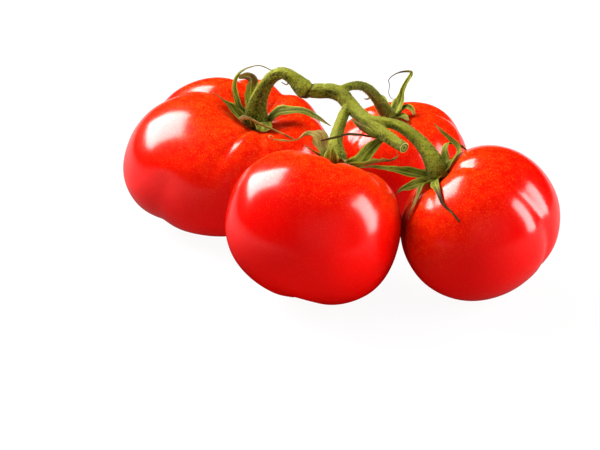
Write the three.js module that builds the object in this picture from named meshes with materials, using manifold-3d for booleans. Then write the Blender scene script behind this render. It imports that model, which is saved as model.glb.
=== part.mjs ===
// A truss of four vine tomatoes lying on a surface: the fruits, the main stem with its cut end,
// the stalk of each fruit and the sepals of each calyx, every one a closed solid of its own.
// Millimetres, +Z up, +X along the truss, origin at the middle of its footprint on the surface.
import * as THREE from 'three';
import { mergeVertices } from 'three/addons/utils/BufferGeometryUtils.js';
import Module from 'manifold-3d';

const wasm = await Module();
wasm.setup();

// Driving dimensions
const GAP = 0.3; // clearance kept between pieces that touch
const CENTRE = [13.3, 35.6]; // middle of the footprint, in the layout that every place below is given in
const FRUIT_SIDES = 40;
const FRUIT_RINGS = 22;
const FLAT = 0.45; // how far a soft underside is pressed flat where it rests
const SCAR = { depth: 1.2, width: 7 }; // shallow dent at the blossom end
const CREASE = { sharpness: 1.6, start: 18, before: 35, after: 10 }; // how a crease fades, in degrees
const SWELLING_START = 50; // polar angle at which a swelling is full
const MIDRIB = 0.42; // half the thickness of a sepal at its root
const TIP = 0.24; // half the thickness of a sepal at its tip
const ROOT_RISE = 1.8; // height of a sepal's root above the stem end
const HANG = 0.15; // extra room under a sepal, as a share of half its width
const SEPAL_SIDES = 4;
const SEPAL_STEP = 2.4; // length of one step along a sepal
const STALK_STEP = 2.6;
const STALK_SIDES = 9;
const STALK_ACROSS = new THREE.Vector3(0.3, 0.2, 1); // a direction that no stem starts along
const GROUND = { width: 300, depth: 40 }; // the block that presses an underside flat
const DEG = Math.PI / 180;

// Each fruit: at = where its middle stands, radius across, height = half its height, squareness of its
// profile, dimple at the stem end, lean of the stem end towards +X and +Y in degrees, pull = sideways
// shift of the stem end, foot = sideways shift of the underside. Azimuths turn from +X towards +Y.
// A crease is [azimuth, depth, width, polar angle it reaches, polar angle it starts from]; a swelling is
// [azimuth, rise, width].
const FRUITS = {
  left: {
    at: [-31, 69], radius: 41.5, height: 30.5, squareness: 2.2, dimple: { depth: 13, width: 15 },
    lean: [9, -9], pull: [10, -2], foot: [-8, 0], collar: 6.7,
    creases: [[251, 0.055, 5.5, 66, 4], [276, 0.04, 7, 70, 4], [305, 0.05, 11, 80, 4],
      [15, 0.05, 12, 90, 4], [62, 0.08, 10, 100, 4], [104, 0.05, 8, 100, 4], [152, 0.07, 8, 105, 4],
      [228, 0.05, 12, 175, 70]],
    swellings: [[190, 0.07, 35], [90, 0.03, 30], [130, 0.048, 18]],
  },
  front: {
    at: [4, -5], radius: 34.3, height: 29.6, squareness: 2.3, dimple: { depth: 6.5, width: 11 },
    lean: [16, 27], pull: [3, 0], foot: [3, 0], collar: 5.8,
    creases: [[268, 0.045, 8, 75, 4], [218, 0.025, 12, 70, 4], [325, 0.025, 12, 70, 4],
      [90, 0.04, 12, 80, 4], [165, 0.03, 12, 70, 4]],
    swellings: [[205, 0.03, 28]],
  },
  right: {
    at: [71.3, 0.8], radius: 32.4, height: 29.4, squareness: 2.05, dimple: { depth: 6, width: 11 },
    lean: [-41, 10], pull: [0, 0], foot: [0, 0], collar: 5.7,
    creases: [[316, 0.045, 9, 170, 4], [38, 0.04, 10, 90, 4], [110, 0.04, 10, 90, 4],
      [190, 0.03, 10, 80, 4], [250, 0.02, 12, 60, 4]],
    swellings: [[345, 0.02, 20]],
  },
  back: {
    at: [44, 76], radius: 29.5, height: 25, squareness: 2.2, dimple: { depth: 5, width: 10 },
    lean: [-6, -2], pull: [-2, 0], foot: [0, 0], collar: 4.4,
    creases: [[12, 0.05, 9, 100, 4], [75, 0.02, 9, 90, 4], [150, 0.05, 9, 90, 4], [215, 0.04, 9, 90, 4],
      [300, 0.04, 9, 90, 4]],
    swellings: [[30, 0.045, 30]],
  },
};

// Stems: a row is x, y, z of the middle and the radius there. A stalk's last row is on its fruit.
const MAIN_STEM = [
  [4.6, 47, 68.8, 3], [8.7, 46, 69, 3.1], [12.8, 45, 69.4, 3.1],
  [16.8, 43, 68.6, 3.2], [20.5, 38.5, 66, 3.1], [23.6, 33.5, 64.3, 2.9], [26.7, 28.5, 63.4, 3],
  [30.6, 23, 62.4, 2.8], [34, 18, 61.3, 2.6], [37.4, 14, 60.3, 2.4], [41.1, 9, 59.7, 2.1],
];
const STALKS = {
  left: [
    [3.7, 47.4, 68.7, 3.3], [2.1, 48.2, 68.9, 4.1], [0, 49.6, 70.3, 3.6], [-3.3, 51.6, 72.8, 2.8],
    [-7.1, 54, 73.8, 2.5], [-11, 56.4, 71.6, 2.6], [-14.5, 58.8, 66.6, 2.9], [-17, 61, 60.8, 3.5],
    [-18.5, 63, 54.5, 4.4], [-18.8, 64.2, 49.6, 5.2], [-18.6, 64.6, 45.4, 4.6],
  ],
  back: [
    [16.8, 43.6, 71, 1.4], [19.3, 45.5, 71, 1.7], [22.7, 49, 70.3, 1.8], [26.2, 53, 68.3, 1.9],
    [29.3, 57.5, 64.7, 2.1], [32.1, 62, 60, 2.3], [34.5, 66.5, 54.9, 2.7], [37, 71, 49.4, 3.1],
    [39.4, 74.6, 44.3, 3.4],
  ],
  front: [
    [19.2, 37, 65.1, 2], [17.9, 34, 63.7, 2.1], [16.6, 29, 62.3, 2.3], [15.3, 23, 60.9, 2.4],
    [14.3, 17, 59.5, 2.7], [14, 12, 57.9, 3.3], [14, 8.4, 55.6, 4.6], [13.6, 5.9, 53.2, 5.2],
    [13.3, 4.7, 51.6, 4.2],
  ],
  right: [
    [28.7, 27, 64.2, 1.8], [33.4, 24.5, 64.3, 1.9], [38.1, 22, 64.1, 2.1], [41.6, 19.5, 63.4, 2.3],
    [44.9, 17, 61.7, 2.5], [48.2, 14, 59.5, 2.8], [50.9, 11, 56.9, 3.2], [53, 8, 54, 3.8],
    [54.6, 5.8, 51, 4.3], [55.9, 3.9, 48.1, 3.9],
  ],
};

// A dry bract under the main stem, and half its width along its length.
const BRACT = {
  widths: [0.9, 1.4, 1.2, 0.7, 0.24],
  path: [[30.4, 18.4, 60], [28.4, 19.2, 60.8], [26, 21, 61.6], [23.3, 23, 62.5], [20.4, 25.6, 64]],
};

// Sepals of each calyx: a = azimuth in the fruit's own frame, widths = half the width at five even
// steps from root to tip, path = out, side, up from the stem end, after the root.
const SEPALS = {
  left: [
    { a: 155, widths: [1.91, 2.03, 0.6, 0.36, 0.24], path: [[10, 0, 6], [13, -1, 10], [14.5, -1, 14.5],
      [14, -2, 19.5], [12, -2.5, 22.5], [8.5, -2.5, 25.5], [4.5, -3, 27.5], [-3.5, -3, 27],
      [-9, -3.5, 25]] },
    { a: 100, widths: [2.3, 2.85, 2.9, 2.12, 0.8], path: [[9.5, 2, 5], [11.5, 2.5, 9], [12.5, 2.5, 13],
      [12.5, 2.5, 16], [13, 5, 17.5], [13, 8.5, 16.5]] },
    { a: -166, widths: [2.02, 2.58, 1.66, 0.46, 0.24], path: [[10, -1, 7], [12.5, -2, 9],
      [15, -3.5, 10], [18, -4.5, 12], [20.5, -5.5, 13.5]] },
    { a: -130, widths: [0.84, 0.77, 0.26, 0.24, 0.24], path: [[9, -0.9, 4.4], [10.9, -1.3, 6.4],
      [11, 0.3, 9.1], [10, 3, 9.4], [8.6, 7.5, 8.7], [6.7, 13.2, 8.2], [4.7, 18.4, 7.4],
      [3.2, 22.8, 6.7]] },
    { a: -80, widths: [2.8, 4.2, 4.6, 4, 1.9], path: [[6.8, -0.5, 6.5], [9.9, -0.1, 6.4],
      [12.8, -1.2, 6]] },
    { a: 5, widths: [3, 3.2, 2, 1.2, 0.24], path: [[8.5, -0.5, 8], [13, -3, 11], [17.5, -5.5, 13],
      [21.5, -9, 13.5], [28, -16.5, 14]] },
  ],
  front: [
    { a: 172, widths: [2.02, 2.76, 1.15, 0.31, 0.24], path: [[7.5, 2, 8], [9, 2, 10.5], [12, 1.5, 11.5],
      [14.5, 2, 10.5], [17, 2.5, 8], [20, 3.5, 6.5], [24, 4.5, 5.5], [27.5, 5.5, 5.5], [28, 5.2, 6.6],
      [26.4, 4.8, 6.6]] },
    { a: -150, widths: [1.84, 1.66, 1.1, 0.46, 0.24], path: [[8.5, 0, 4.2], [12, -1, 5.4],
      [15, -2, 6.4]] },
    { a: -112, widths: [2.21, 2.94, 3.13, 2.76, 1.29], path: [[6.8, 0.3, 3.2], [8.4, 0.2, 5.4],
      [9, -0.2, 7.8]] },
    { a: -72, widths: [1.06, 1.29, 1.22, 0.91, 0.38], path: [[7.5, -0.2, 4.4], [9.5, -0.2, 4.8],
      [11, -0.2, 4]] },
    { a: -14, widths: [1.79, 2.15, 1.91, 0.96, 0.24], path: [[8.4, 0.5, 5.5], [9, 4, 8.5],
      [9.8, 7.5, 12], [10.6, 11.5, 15], [11.6, 14, 17.5]] },
    { a: -46, widths: [1.37, 1.81, 1.56, 0.97, 0.3], path: [[8.6, 0, 3.4], [10.2, 3.5, 4.8],
      [11.5, 8, 7], [13, 12, 9], [14.4, 15.6, 10.5], [15, 17.4, 12.5], [14.4, 16.6, 14.5]] },
  ],
  right: [
    { a: 140, widths: [2.39, 2.62, 1.79, 0.97, 0.24], path: [[8.5, 1.5, 8], [11, 3, 11.5],
      [12.5, 4.5, 14.5], [13.5, 7, 18], [15, 9.5, 21.5], [16.5, 13, 24.5]] },
    { a: -176, widths: [2.02, 2.48, 2.02, 1.1, 0.24], path: [[8, 0.5, 4.8], [11, 0, 6], [14.5, -1, 7.2],
      [17.5, -2, 7]] },
    { a: -138, widths: [1.56, 1.66, 1.38, 0.83, 0.24], path: [[8, -0.5, 4.2], [11.5, -0.3, 3.4],
      [17, 0, 2.2], [20, -1.5, 1], [22, -3.6, -0.8]] },
    { a: -98, widths: [1.7, 2, 0.9, 0.35, 0.24], path: [[9, -0.4, 2.6], [15.5, 0.6, 2.4],
      [19.2, 0.6, 1], [22.2, 0.2, -1], [24.4, 0.4, -3], [26.6, 1.4, -5.4], [29.5, 2, -10]] },
    { a: -12, widths: [1.67, 1.6, 0.99, 0.76, 0.24], path: [[8.5, 2.5, 2], [11, 5, 2.6], [12, 7.2, 4],
      [12, 9, 6.5], [11, 10.4, 9], [9.8, 12, 13], [9, 13.4, 17]] },
    { a: 42, widths: [1.9, 2.4, 2, 1.6, 0.4], path: [[8.9, 0, 3.2], [11.5, 0.4, 6], [14.5, 0.4, 7],
      [16, -1, 5], [16.4, -3, 1.5], [15.2, -4.4, -2.2]] },
    { a: 92, widths: [2.2, 2.9, 2.9, 2.3, 1], path: [[7.8, 0, 4], [9.8, -1, 5.6], [11.4, -3, 6]] },
  ],
  back: [
    { a: 38, widths: [2.51, 2.15, 1.08, 0.42, 0.24], path: [[5.6, -0.5, 7], [7, -1, 12],
      [8.5, -2, 15.5], [10.5, -3, 18.5], [10, -4, 20.5], [6, -2.5, 21.5], [1.5, -1.5, 21],
      [-0.5, -1, 19]] },
    { a: -16, widths: [1.84, 2.21, 2.02, 1.47, 0.55], path: [[6.5, 0.5, 5.6], [9, -0.5, 5.2],
      [10.5, -2, 3.6]] },
    { a: -60, widths: [2.02, 2.58, 2.39, 1.56, 0.55], path: [[6.6, 0.5, 3.2], [9, 1, 3.6],
      [11.5, 1, 3.2]] },
    { a: 168, widths: [1.6, 1.6, 1.1, 0.8, 0.24], path: [[6.5, 0.9, 9.9], [8.1, 2.6, 13.3],
      [7.9, 4.1, 12.8], [9.1, 4.9, 12.3], [10.6, 4.2, 12.2]] },
    { a: 112, widths: [2.1, 2, 1.6, 1, 0.3], path: [[7.5, 0, 4], [11.5, -1, 5.6], [16, -2, 5],
      [19, -3, 3.4]] },
  ],
};

const SKIN = new THREE.MeshStandardMaterial({ color: '#c81408', roughness: 0.22, metalness: 0 });
const STEM = new THREE.MeshStandardMaterial({ color: '#6f8a35', roughness: 0.7, metalness: 0 });
const LEAF = new THREE.MeshStandardMaterial({ color: '#5c7f2e', roughness: 0.65, metalness: 0 });

// Solids from geometry and back
function weld(geometry) {
  geometry.deleteAttribute('normal');
  geometry.deleteAttribute('uv');
  return mergeVertices(geometry);
}

function toSolid(geometry) {
  const vertProperties = new Float32Array(geometry.attributes.position.array);
  const triVerts = new Uint32Array(geometry.index.array);
  return new wasm.Manifold(new wasm.Mesh({ numProp: 3, vertProperties, triVerts }));
}

function toGeometry(solid) {
  const mesh = solid.getMesh();
  const geometry = new THREE.BufferGeometry();
  geometry.setAttribute('position', new THREE.BufferAttribute(mesh.vertProperties, 3));
  geometry.setIndex(new THREE.BufferAttribute(mesh.triVerts, 1));
  return geometry;
}

function piece(name, geometry, material) {
  geometry.computeVertexNormals();
  const mesh = new THREE.Mesh(geometry, material);
  mesh.name = name;
  return mesh;
}

// Signed angle from one azimuth to another, in degrees.
function turn(from, to) {
  return THREE.MathUtils.euclideanModulo(to - from + 180, 360) - 180;
}

// How far the skin stands in or out there, as a factor of the plain profile.
function fullness(fruit, polar, azimuth) {
  let full = 1;
  for (const [middle, depth, width, reach, start] of fruit.creases) {
    const off = Math.abs(turn(middle, azimuth)) / width;
    const opening = THREE.MathUtils.smoothstep(polar, start, start + CREASE.start);
    const fading = 1 - THREE.MathUtils.smoothstep(polar, reach - CREASE.before, reach + CREASE.after);
    full -= depth * Math.exp(-(off ** CREASE.sharpness)) * opening * fading;
  }
  for (const [middle, rise, width] of fruit.swellings) {
    const off = turn(middle, azimuth) / width;
    full += rise * Math.exp(-off * off) * THREE.MathUtils.smoothstep(polar, 0, SWELLING_START);
  }
  return full;
}

// A point of the skin in the fruit's own frame. Polar 0 is the stem end and 180 the blossom end.
function skinPoint(fruit, polar, azimuth) {
  const power = 2 / fruit.squareness;
  const up = Math.cos(polar * DEG);
  const full = fullness(fruit, polar, azimuth);
  const across = fruit.radius * Math.abs(Math.sin(polar * DEG)) ** power * full;
  let height = fruit.height * Math.sign(up) * Math.abs(up) ** power * full;
  if (up > 0) height -= fruit.dimple.depth * Math.exp(-((across / fruit.dimple.width) ** 2));
  else height += SCAR.depth * Math.exp(-((across / SCAR.width) ** 2));
  const top = ((1 + up) / 2) ** 2;
  const bottom = ((1 - up) / 2) ** 2;
  return new THREE.Vector3(
    across * Math.cos(azimuth * DEG) + fruit.pull[0] * top + fruit.foot[0] * bottom,
    across * Math.sin(azimuth * DEG) + fruit.pull[1] * top + fruit.foot[1] * bottom,
    height,
  );
}

function skinGeometry(fruit) {
  const geometry = new THREE.SphereGeometry(1, FRUIT_SIDES, FRUIT_RINGS).rotateX(Math.PI / 2);
  const position = geometry.attributes.position;
  const dot = new THREE.Vector3();
  for (let i = 0; i < position.count; i += 1) {
    dot.fromBufferAttribute(position, i).normalize();
    const polar = Math.acos(THREE.MathUtils.clamp(dot.z, -1, 1)) / DEG;
    const skin = skinPoint(fruit, polar, Math.atan2(dot.y, dot.x) / DEG);
    position.setXYZ(i, skin.x, skin.y, skin.z);
  }
  return weld(geometry);
}

// The same closed shape with every point moved out along its normal.
function grown(geometry, by) {
  const wider = geometry.clone();
  wider.computeVertexNormals();
  const { position, normal } = wider.attributes;
  for (let i = 0; i < position.count; i += 1) {
    const x = position.getX(i) + normal.getX(i) * by;
    const y = position.getY(i) + normal.getY(i) * by;
    position.setXYZ(i, x, y, position.getZ(i) + normal.getZ(i) * by);
  }
  return wider;
}

// A fruit stands in a group of its own that leans it and lowers it onto the surface.
function seat(fruit, skin) {
  const group = new THREE.Group();
  group.rotation.set(-fruit.lean[1] * DEG, fruit.lean[0] * DEG, 0);
  group.updateMatrix();
  const leaned = skin.clone().applyMatrix4(group.matrix);
  leaned.computeBoundingBox();
  group.position.set(fruit.at[0], fruit.at[1], -leaned.boundingBox.min.z - FLAT);
  group.updateMatrix();
  return group;
}

function pressedFlat(skin, group) {
  const ground = new THREE.BoxGeometry(GROUND.width, GROUND.width, GROUND.depth);
  ground.translate(group.position.x, group.position.y, -GROUND.depth / 2);
  ground.applyMatrix4(group.matrix.clone().invert());
  return toGeometry(toSolid(skin).subtract(toSolid(weld(ground))));
}

// A closed tube through the points. Its section at each step is an ellipse of the half-sizes that
// size(t) gives, its first one lying along the direction `across`, carried along without twist.
function sweep(points, size, sides, steps, across) {
  const curve = new THREE.CatmullRomCurve3(points, false, 'centripetal');
  const rows = [];
  const wide = across.clone();
  for (let i = 0; i <= steps; i += 1) {
    const tangent = curve.getTangentAt(i / steps);
    wide.addScaledVector(tangent, -wide.dot(tangent)).normalize();
    const thick = new THREE.Vector3().crossVectors(tangent, wide);
    const [a, b] = size(i / steps);
    const middle = curve.getPointAt(i / steps);
    const ring = [];
    for (let k = 0; k < sides; k += 1) {
      const angle = (2 * Math.PI * k) / sides;
      const dot = middle.clone().addScaledVector(wide, a * Math.cos(angle));
      ring.push(dot.addScaledVector(thick, b * Math.sin(angle)));
    }
    rows.push(ring);
  }
  return closedTube(rows, curve.getPointAt(0), curve.getPointAt(1));
}

function closedTube(rows, start, end) {
  const sides = rows[0].length;
  const dots = [...rows.flat(), start, end];
  const faces = [];
  for (let k = 0; k < sides; k += 1) {
    const next = (k + 1) % sides;
    const last = (rows.length - 1) * sides;
    faces.push(dots.length - 2, next, k, dots.length - 1, last + k, last + next);
    for (let i = 0; i + 1 < rows.length; i += 1) {
      const low = i * sides;
      faces.push(low + k, low + next, low + sides + next, low + k, low + sides + next, low + sides + k);
    }
  }
  const geometry = new THREE.BufferGeometry().setFromPoints(dots);
  geometry.setIndex(faces);
  return geometry;
}

// Stems and stalks: round tubes whose radius follows the fourth number of each row.
function roundStem(rows) {
  const points = rows.map(([x, y, z]) => new THREE.Vector3(x, y, z));
  const reach = [0];
  for (let i = 1; i < points.length; i += 1) reach.push(reach[i - 1] + points[i].distanceTo(points[i - 1]));
  const radius = (t) => {
    const along = t * reach.at(-1);
    const i = Math.max(1, reach.findIndex((r) => r >= along - 1e-6));
    const share = (along - reach[i - 1]) / (reach[i] - reach[i - 1]);
    const r = THREE.MathUtils.lerp(rows[i - 1][3], rows[i][3], share);
    return [r, r];
  };
  const steps = Math.round(reach.at(-1) / STALK_STEP);
  return sweep(points, radius, STALK_SIDES, steps, STALK_ACROSS);
}

// A thin closed blade along the points, with half its width at even steps, running out to a fine tip.
function blade(points, widths, across) {
  const length = new THREE.CatmullRomCurve3(points, false, 'centripetal').getLength();
  const size = (t) => {
    const i = Math.min(Math.floor(t * (widths.length - 1)), widths.length - 2);
    const share = t * (widths.length - 1) - i;
    return [THREE.MathUtils.lerp(widths[i], widths[i + 1], share), THREE.MathUtils.lerp(MIDRIB, TIP, t)];
  };
  const steps = Math.max(widths.length - 1, Math.round(length / SEPAL_STEP));
  return sweep(points, size, SEPAL_SIDES, steps, across);
}

// Moves the points of a path out of the skin until each clears it by `room`.
function keptClear(path, skin, room) {
  const { position } = skin.attributes;
  const corners = skin.index.array;
  const triangle = new THREE.Triangle();
  const nearest = new THREE.Vector3();
  return path.map((point) => {
    const best = { distance: Infinity };
    for (let i = 0; i < corners.length; i += 3) {
      triangle.setFromAttributeAndIndices(position, corners[i], corners[i + 1], corners[i + 2]);
      triangle.closestPointToPoint(point, nearest);
      const distance = nearest.distanceTo(point);
      if (distance < best.distance) {
        best.distance = distance;
        best.foot = nearest.clone();
        best.normal = triangle.getNormal(new THREE.Vector3());
      }
    }
    const height = point.clone().sub(best.foot).dot(best.normal);
    return height >= room ? point : best.foot.addScaledVector(best.normal, room);
  });
}

// A sepal: a thin blade that leaves the calyx, widens a little and runs out to a fine tip.
function sepalGeometry(fruit, skin, { a, widths, path }) {
  const pole = skinPoint(fruit, 0, 0);
  const out = new THREE.Vector3(Math.cos(a * DEG), Math.sin(a * DEG), 0);
  const side = new THREE.Vector3(-out.y, out.x, 0);
  const root = [fruit.collar + GAP, 0, ROOT_RISE];
  const points = [root, ...path].map(([o, s, u]) => pole.clone()
    .addScaledVector(out, o).addScaledVector(side, s).add(new THREE.Vector3(0, 0, u)));
  return blade(keptClear(points, skin, MIDRIB + GAP + HANG * widths[1]), widths, side);
}

// Assembly
const truss = new THREE.Group();
truss.position.set(-CENTRE[0], -CENTRE[1], 0);

const mainStem = roundStem(MAIN_STEM);
const aroundMainStem = toSolid(grown(mainStem, GAP));
truss.add(piece('main_stem', mainStem, STEM));
const bractPath = BRACT.path.map((point) => new THREE.Vector3(...point));
truss.add(piece('bract', blade(bractPath, BRACT.widths, new THREE.Vector3(0, 0, 1)), LEAF));

for (const [place, fruit] of Object.entries(FRUITS)) {
  const skin = skinGeometry(fruit);
  const group = seat(fruit, skin);
  truss.add(group);
  group.add(piece(`tomato_${place}`, pressedFlat(skin, group), SKIN));
  SEPALS[place].forEach((sepal, i) => {
    group.add(piece(`sepal_${place}_${i + 1}`, sepalGeometry(fruit, skin, sepal), LEAF));
  });
  const aroundFruit = toSolid(grown(skin, GAP).applyMatrix4(group.matrix));
  const stalk = toSolid(roundStem(STALKS[place])).subtract(aroundFruit).subtract(aroundMainStem);
  truss.add(piece(`stalk_${place}`, toGeometry(stalk), STEM));
}

export default truss;
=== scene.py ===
import math

import bpy
import numpy as np
from mathutils import Matrix, Vector, noise
from mathutils.bvhtree import BVHTree
from mathutils.kdtree import KDTree


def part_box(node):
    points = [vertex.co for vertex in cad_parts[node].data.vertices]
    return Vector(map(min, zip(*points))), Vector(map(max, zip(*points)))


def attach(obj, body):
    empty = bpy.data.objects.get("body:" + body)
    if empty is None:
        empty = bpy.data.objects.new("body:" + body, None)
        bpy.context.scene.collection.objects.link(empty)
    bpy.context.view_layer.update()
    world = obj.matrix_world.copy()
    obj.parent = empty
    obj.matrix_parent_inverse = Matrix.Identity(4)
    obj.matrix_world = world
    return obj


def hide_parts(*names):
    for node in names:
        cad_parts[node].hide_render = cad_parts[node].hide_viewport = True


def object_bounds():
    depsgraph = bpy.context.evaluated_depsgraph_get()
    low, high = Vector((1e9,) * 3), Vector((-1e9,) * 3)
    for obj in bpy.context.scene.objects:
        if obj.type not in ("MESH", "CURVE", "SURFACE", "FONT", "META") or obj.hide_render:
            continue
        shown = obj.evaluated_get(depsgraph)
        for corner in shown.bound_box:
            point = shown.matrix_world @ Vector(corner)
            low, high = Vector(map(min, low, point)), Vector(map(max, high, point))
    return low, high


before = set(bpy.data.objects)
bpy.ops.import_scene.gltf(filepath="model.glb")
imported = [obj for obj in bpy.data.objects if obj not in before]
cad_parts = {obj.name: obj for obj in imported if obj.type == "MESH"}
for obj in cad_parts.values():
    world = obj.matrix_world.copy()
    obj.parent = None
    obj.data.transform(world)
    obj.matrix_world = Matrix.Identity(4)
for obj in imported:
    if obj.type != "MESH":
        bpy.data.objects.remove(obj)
cad_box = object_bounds()

MM = 0.001

# Fruits
FRUIT_SIDES = 150
FRUIT_RINGS = 96
FLAT = 0.45  # how far a soft underside is pressed flat where it rests
SCAR_DEPTH = 1.2  # shallow dent at the blossom end
SCAR_WIDTH = 7
CREASE_EDGE = 1.6  # how crisply a crease's sides fall away
CREASE_DEEPENS = 18  # the polar degrees in which a crease gets its depth
CREASE_FADES = (-35, 10)  # where it fades out, in degrees from its reach
SWELLING_RISES = 50
WAVE = 0.16  # height of the slow unevenness of the skin
WAVE_LENGTH = 11

# Sepals
MIDRIB = 0.34  # half the thickness of a sepal at its root
TIP = 0.1  # half its thickness at its tip
EDGE_SHARE = 0.25  # how thick a sepal still is by its edge, as a share of its midrib
SEPAL_STEP = 0.7
SEPAL_SIDE = 5  # steps from the midrib to an edge
ROOT_RISE = 1.8  # height of a sepal's root above the stem end
ROOT_TUCK = 2.2  # how far a root is tucked in under the foot of the stalk
LINE_ROOM = 0.1  # how far a sepal's line stays off the skin, beside its thickness
WIDTH_ROOM = 0.15  # and further, as a share of half its width
SKIN_ROOM = 0.04  # the least room between its surface and the skin
CUP_POWER = 1.4  # how steeply the channel rises towards the edges
RIPPLE_HEIGHT = 2.5
RIPPLE_LENGTH = 3.1
EDGES_APART = 1.7  # sets the ripple of one edge apart from the other's
FACES_APART = 3  # sets the grain of the upper face apart from the lower one's
SEED_STEP = 7.3  # sets one sepal's ripple and grain apart from the next one's
BRACT_SEED = 3.7

# Stems
STEM_STEP = 0.9
STEM_SIDES = 28
STEM_VOXEL = 0.42
STEM_GRAIN = 0.1  # height of the ribs along a stem
STEM_RIBS = 5
STEM_LUMPS = 1.2  # height of its lumps, as a share of the ribs
LUMP_LENGTH = 2.2
STEM_ACROSS = (0.3, 0.2, 1)  # where a stem's sideways direction starts from
LENGTHWAYS = 0.12  # how far the grain is drawn out along stems and sepals

# Down
HAIRS = 9000
HAIR = 0.035  # half the thickness of a hair
HAIR_CORNERS = (0, 2.1, 4.2)  # where the corners of its foot are, in radians
HAIR_LENGTHS = (0.4, 1.3)
HAIR_SPREAD = 0.35  # how far hairs lean away from straight out
HAIR_ROOT = 0.1  # how deep a hair stands in the stem

# Cut end
CUT_SIDES = 40
CUT_EDGE = 1.1  # stands for the green edge behind the rind
CUT_EDGE_RINGS = 2  # how many rings of the profile belong to it
# The profile from the edge to the middle: share of the radius, and how far forward.
CUT_PROFILE = [(0.9, -1.2), (1.02, -0.5), (1.04, 0.15), (0.97, 0.32), (0.86, 0.3), (0.74, 0.16), (0.6, 0.2),
               (0.42, 0.22), (0.26, 0.12), (0.1, 0.08)]

# Each fruit: at = where its middle stands, radius across, height = half its height, squareness of its
# profile, dimple = depth and width at the stem end, lean of the stem end towards +X and +Y in degrees,
# pull = sideways shift of the stem end, foot = sideways shift of the underside.
# A crease is azimuth, depth, width, and the polar angles that it reaches and starts from; a swelling is
# azimuth, rise, width.
FRUITS = {
    "left": {
        "at": (-31, 69), "radius": 41.5, "height": 30.5, "squareness": 2.2, "dimple": (13, 15),
        "lean": (9, -9), "pull": (10, -2), "foot": (-8, 0), "collar": 6.7,
        "creases": [
            (251, 0.055, 5.5, 66, 4), (276, 0.04, 7, 70, 4), (305, 0.05, 11, 80, 4), (15, 0.05, 12, 90, 4),
            (62, 0.08, 10, 100, 4), (104, 0.05, 8, 100, 4), (152, 0.07, 8, 105, 4),
            (230, 0.036, 12, 175, 70),
        ],
        "swellings": [(190, 0.07, 35), (90, 0.03, 30), (130, 0.048, 18)],
    },
    "front": {
        "at": (4, -5), "radius": 34.3, "height": 29.6, "squareness": 2.3, "dimple": (6.5, 11),
        "lean": (16, 27), "pull": (3, 0), "foot": (3, 0), "collar": 5.8,
        "creases": [
            (268, 0.045, 8, 75, 4), (218, 0.025, 12, 70, 4), (325, 0.025, 12, 70, 4), (90, 0.04, 12, 80, 4),
            (165, 0.03, 12, 70, 4),
        ],
        "swellings": [(205, 0.03, 28)],
    },
    "right": {
        "at": (71.3, 0.8), "radius": 32.4, "height": 29.4, "squareness": 2.05, "dimple": (6, 11),
        "lean": (-41, 10), "pull": (0, 0), "foot": (0, 0), "collar": 5.7,
        "creases": [
            (316, 0.045, 9, 170, 4), (38, 0.04, 10, 90, 4), (110, 0.04, 10, 90, 4), (190, 0.03, 10, 80, 4),
            (250, 0.02, 12, 60, 4),
        ],
        "swellings": [(345, 0.02, 20)],
    },
    "back": {
        "at": (44, 76), "radius": 29.5, "height": 25, "squareness": 2.2, "dimple": (5, 10),
        "lean": (-6, -2), "pull": (-2, 0), "foot": (0, 0), "collar": 4.4,
        "creases": [
            (12, 0.05, 9, 100, 4), (75, 0.02, 9, 90, 4), (150, 0.05, 9, 90, 4), (215, 0.04, 9, 90, 4),
            (300, 0.04, 9, 90, 4),
        ],
        "swellings": [(30, 0.045, 30)],
    },
}

# Stems: a row is x, y, z of the middle and the radius there. A stalk's last row is on its fruit.
MAIN_STEM = [
    (0.6, 49.2, 69.4, 2.5), (2.6, 48, 68.8, 2.9), (4.6, 47, 68.8, 3), (8.7, 46, 69, 3.1),
    (12.8, 45, 69.4, 3.1), (16.8, 43, 68.6, 3.2), (20.5, 38.5, 66, 3.1), (23.6, 33.5, 64.3, 2.9),
    (26.7, 28.5, 63.4, 3), (30.6, 23, 62.4, 2.8), (34, 18, 61.3, 2.6), (37.4, 14, 60.3, 2.4),
    (41.1, 9, 59.7, 2.1),
]
STALKS = {
    "left": [
        (3.7, 47.4, 68.7, 3.3), (2.1, 48.2, 68.9, 4.1), (0, 49.6, 70.3, 3.6), (-3.3, 51.6, 72.8, 2.8),
        (-7.1, 54, 73.8, 2.5), (-11, 56.4, 71.6, 2.6), (-14.5, 58.8, 66.6, 2.9), (-17, 61, 60.8, 3.5),
        (-18.5, 63, 54.5, 4.4), (-18.8, 64.2, 49.6, 5.2), (-18.6, 64.6, 45.4, 4.6),
    ],
    "back": [
        (16.8, 43.6, 71, 1.4), (19.3, 45.5, 71, 1.7), (22.7, 49, 70.3, 1.8), (26.2, 53, 68.3, 1.9),
        (29.3, 57.5, 64.7, 2.1), (32.1, 62, 60, 2.3), (34.5, 66.5, 54.9, 2.7), (37, 71, 49.4, 3.1),
        (39.4, 74.6, 44.3, 3.4),
    ],
    "front": [
        (19.2, 37, 65.1, 2), (17.9, 34, 63.7, 2.1), (16.6, 29, 62.3, 2.3), (15.3, 23, 60.9, 2.4),
        (14.3, 17, 59.5, 2.7), (14, 12, 57.9, 3.3), (14, 8.4, 55.6, 4.6), (13.6, 5.9, 53.2, 5.2),
        (13.3, 4.7, 51.6, 4.2),
    ],
    "right": [
        (28.7, 27, 64.2, 1.8), (33.4, 24.5, 64.3, 1.9), (38.1, 22, 64.1, 2.1), (41.6, 19.5, 63.4, 2.3),
        (44.9, 17, 61.7, 2.5), (48.2, 14, 59.5, 2.8), (50.9, 11, 56.9, 3.2), (53, 8, 54, 3.8),
        (54.6, 5.8, 51, 4.3), (55.9, 3.9, 48.1, 3.9),
    ],
}

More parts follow.
